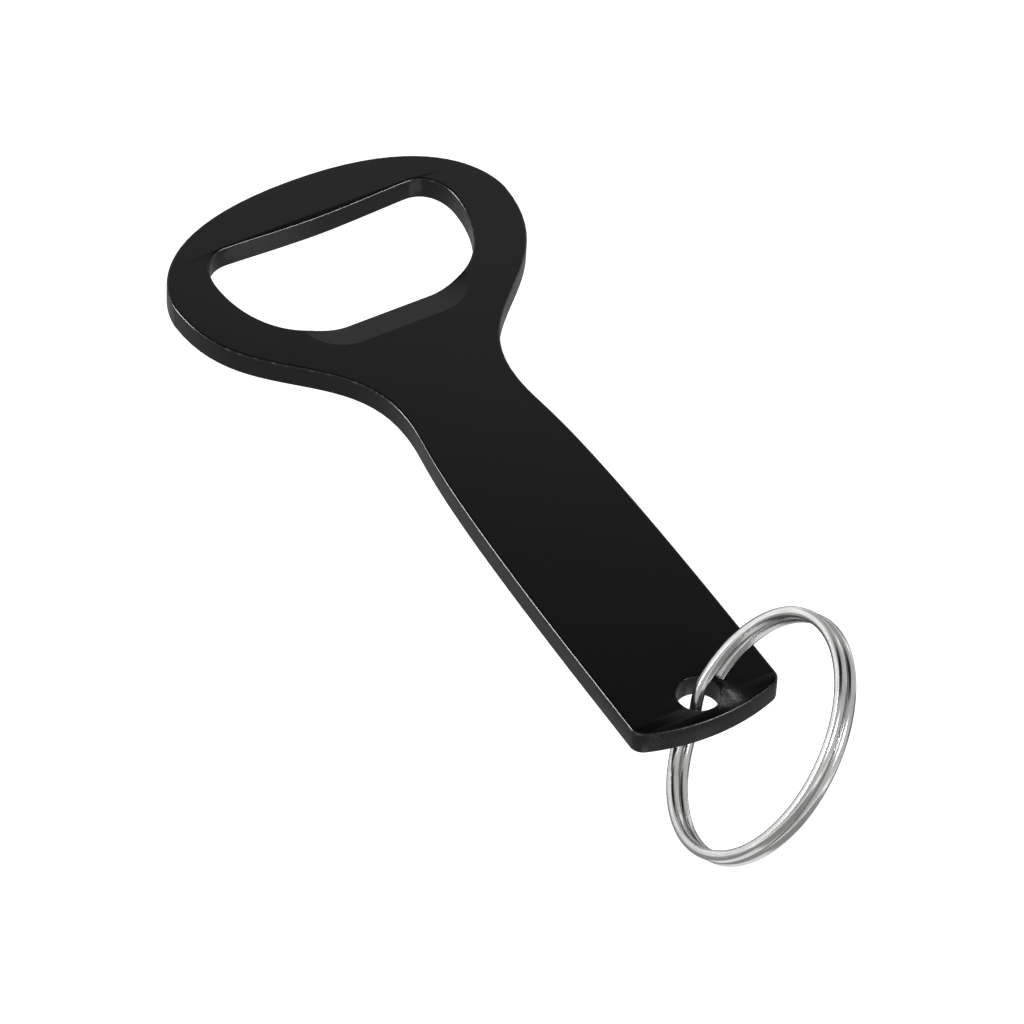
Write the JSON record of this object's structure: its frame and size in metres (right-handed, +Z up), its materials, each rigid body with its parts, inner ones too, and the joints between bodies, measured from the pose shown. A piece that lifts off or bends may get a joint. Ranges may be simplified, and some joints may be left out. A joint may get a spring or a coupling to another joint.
{
  "type": "keychain bottle opener",
  "caption": "Flat coated metal bottle opener with a wide round head, a cap opening with a milled lifting lip, a waisted handle and a split ring in its end.",
  "frame": {"origin": "on the underside of the handle, on its centre line, 40 mm from the ring hole's axis towards the head", "axes": "+Z up out of the top face with the lifting lip, +Y along the handle towards the head, +X to the right seen from above"},
  "size_m": [0.045, 0.1221, 0.0255],
  "materials": {
    "black_coat": "satin",
    "ring_wire": "bright"
  },
  "bodies": {
    "plate": {"opener_plate": "black_coat"},
    "ring": {"split_ring": "ring_wire"}
  },
  "joints": [
    {"name": "ring_swivel", "type": "hinge", "parent": "plate", "child": "ring", "pos_m": [0, -0.04, 0.0015], "axis": [0, 0, 1], "range_deg": [-121, 173]}
  ]
}
